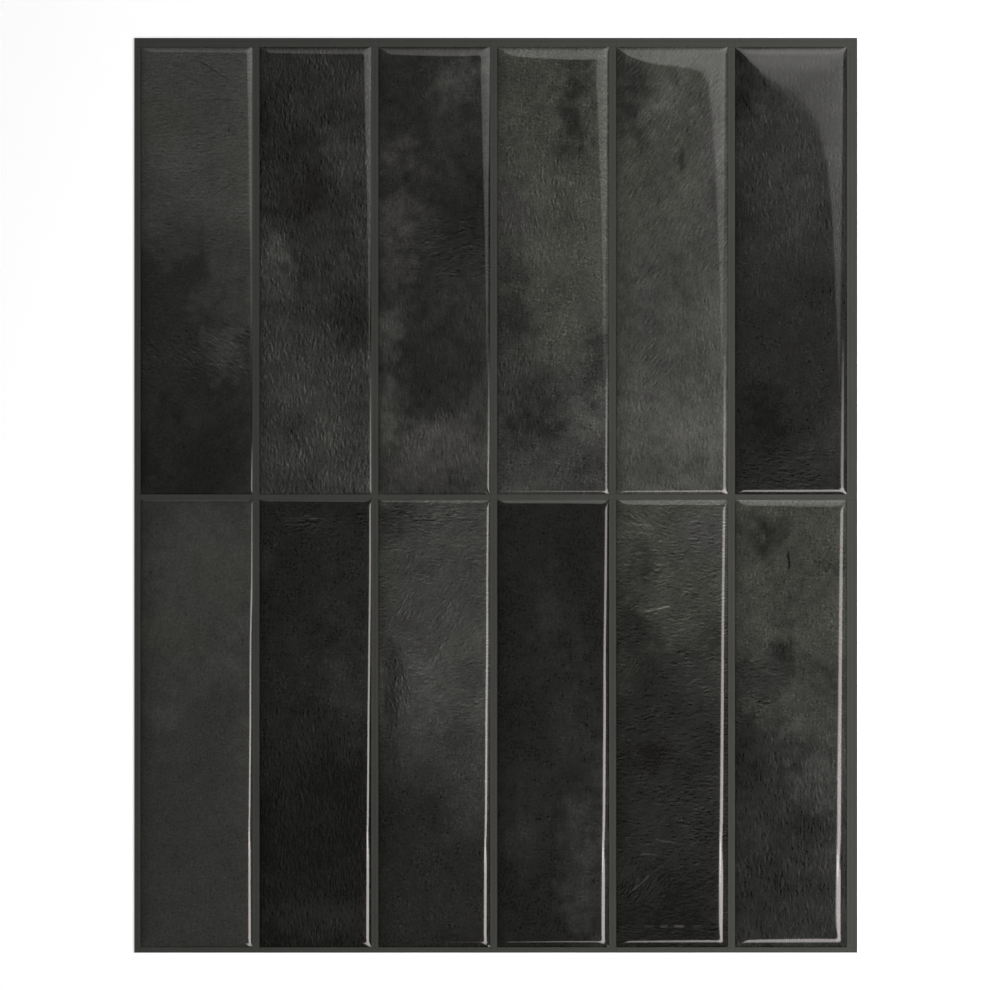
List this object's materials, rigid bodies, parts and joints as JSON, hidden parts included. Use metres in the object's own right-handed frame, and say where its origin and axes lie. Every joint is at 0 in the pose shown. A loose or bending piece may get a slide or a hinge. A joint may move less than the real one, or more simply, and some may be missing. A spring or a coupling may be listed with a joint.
{
  "type": "peel and stick backsplash tile",
  "caption": "Self-adhesive wall covering sheet: domed clear gel tiles in an upright stack over a mottled dark printed vinyl sheet with printed grout lines and a peel-off paper liner.",
  "frame": {"origin": "Middle of the liner's underside, at the level floor that the sheet lies on", "axes": "+X across the sheet towards its wider side margin, +Y up the sheet towards its wider top margin, +Z out of the glossy front face"},
  "size_m": [0.231, 0.2924, 0.002],
  "materials": {
    "liner_paper": "Plain off-white siliconed release paper, faintly fibrous, on the back of the sheet",
    "printed_vinyl": "Satin dark grey printed vinyl with a fine even tooth; it shows as the grout lines and the margins",
    "gel": "Glossy domed polyurethane gel over a mottled charcoal and black slate-look print with fine brushed and scratched relief"
  },
  "bodies": {
    "root": {"release_liner": "liner_paper", "printed_vinyl_sheet": "printed_vinyl", "gel_tile_r1_c1": "gel", "gel_tile_r1_c2": "gel", "gel_tile_r1_c3": "gel", "gel_tile_r1_c4": "gel", "gel_tile_r1_c5": "gel", "gel_tile_r1_c6": "gel", "gel_tile_r2_c1": "gel", "gel_tile_r2_c2": "gel", "gel_tile_r2_c3": "gel", "gel_tile_r2_c4": "gel", "gel_tile_r2_c5": "gel", "gel_tile_r2_c6": "gel"}
  },
  "joints": []
}
